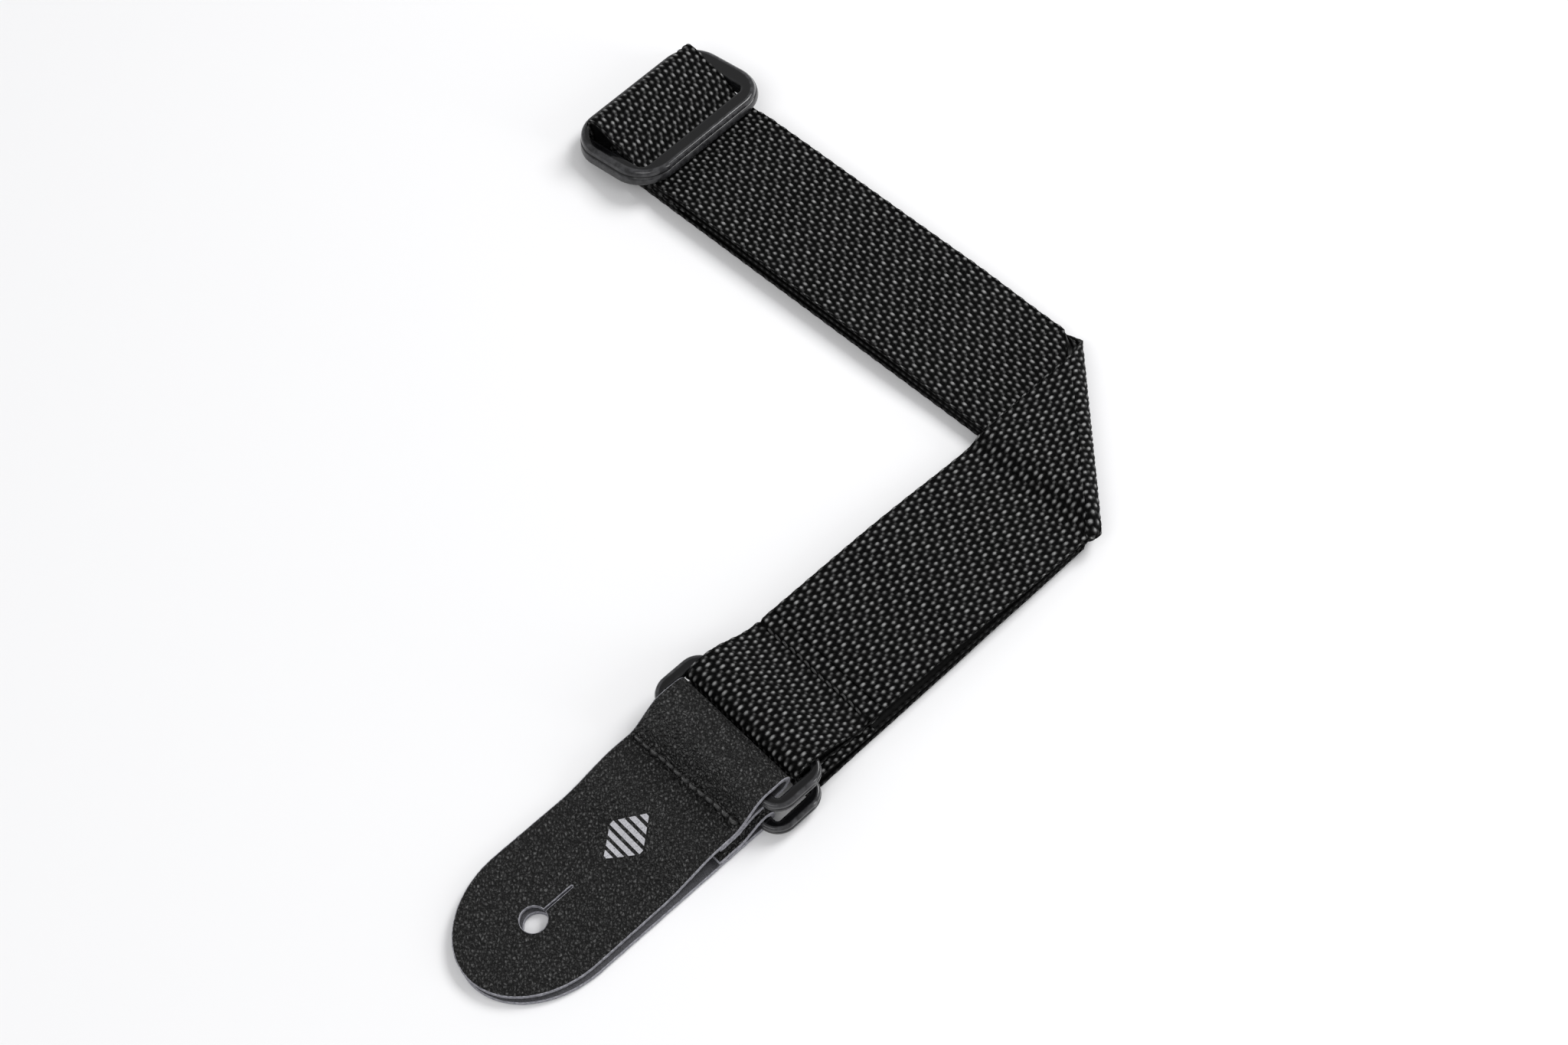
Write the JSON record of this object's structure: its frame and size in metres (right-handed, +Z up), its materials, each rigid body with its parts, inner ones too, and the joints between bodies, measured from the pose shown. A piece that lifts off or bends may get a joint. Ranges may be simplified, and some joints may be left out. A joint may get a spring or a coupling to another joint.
{
  "type": "guitar strap",
  "caption": "Adjustable guitar strap of flat woven webbing, folded at its middle, with a sliding buckle, oblong rings and leather end tabs with button holes.",
  "frame": {"origin": "centre of the bounding box, on the surface that the strap lies on", "axes": "+Z up; +Y along the line from the button hole end to the slider end, with the fold on the +X side"},
  "size_m": [0.1942, 0.35, 0.0167],
  "materials": {
    "webbing": "woven polypropylene, black",
    "leather": "fine grain, black, with grey cut edges",
    "plastic": "moulded, satin black",
    "thread": "sewing thread, black",
    "silver_print": "silver printed ink"
  },
  "bodies": {
    "upper_leg": {"webbing_main_upper": "webbing", "webbing_return_upper": "webbing", "webbing_under_upper": "webbing", "webbing_fold_main": "webbing", "webbing_fold_return": "webbing", "webbing_fold_under": "webbing"},
    "slider_carriage": {"webbing_slider_arch": "webbing", "webbing_slider_eye": "webbing", "stitching_slider_eye": "thread"},
    "slider": {"slider": "plastic"},
    "lower_leg": {"webbing_main_lower": "webbing", "webbing_return_lower": "webbing", "webbing_under_lower": "webbing", "webbing_ring_a_eye": "webbing", "webbing_ring_b_turn": "webbing", "stitching_ring_a_eye": "thread"},
    "ring_a": {"ring_a": "plastic"},
    "tab_a": {"tab_a": "leather", "stitching_tab_a": "thread", "tab_a_mark": "silver_print"},
    "ring_b": {"ring_b": "plastic"},
    "tab_b": {"tab_b": "leather", "stitching_tab_b": "thread"}
  },
  "joints": [
    {"name": "fold_hinge", "type": "hinge", "parent": "upper_leg", "child": "lower_leg", "pos_m": [0.09658, 0.00957, 0.006], "axis": [0, 1, 0], "range_deg": [0, 172], "deforming": ["webbing_fold_main", "webbing_fold_return", "webbing_fold_under"]},
    {"name": "slider_slide", "type": "slide", "parent": "upper_leg", "child": "slider_carriage", "axis": [0.7254, -0.6884, 0], "range_m": [0, 0.04], "deforming": ["webbing_main_upper", "webbing_return_upper", "webbing_under_upper"]},
    {"name": "slider_tip", "type": "hinge", "parent": "slider_carriage", "child": "slider", "pos_m": [-0.04159, 0.14173, 0.00774], "axis": [-0.6884, -0.7254, 0], "range_deg": [0, 2]},
    {"name": "ring_a_swing", "type": "hinge", "parent": "lower_leg", "child": "ring_a", "pos_m": [-0.00946, -0.0921, 0.0126], "axis": [-0.6884, 0.7254, 0], "range_deg": [0, 75]},
    {"name": "tab_a_swing", "type": "hinge", "parent": "ring_a", "child": "tab_a", "pos_m": [-0.02252, -0.10449, 0.0126], "axis": [-0.6884, 0.7254, 0], "range_deg": [0, 30]},
    {"name": "ring_b_swing", "type": "hinge", "parent": "lower_leg", "child": "ring_b", "pos_m": [-0.0112, -0.09375, 0.0041], "axis": [0.6884, -0.7254, 0], "range_deg": [0, 75]},
    {"name": "tab_b_swing", "type": "hinge", "parent": "ring_b", "child": "tab_b", "pos_m": [-0.02425, -0.10614, 0.0041], "axis": [0.6884, -0.7254, 0], "range_deg": [0, 90]}
  ]
}
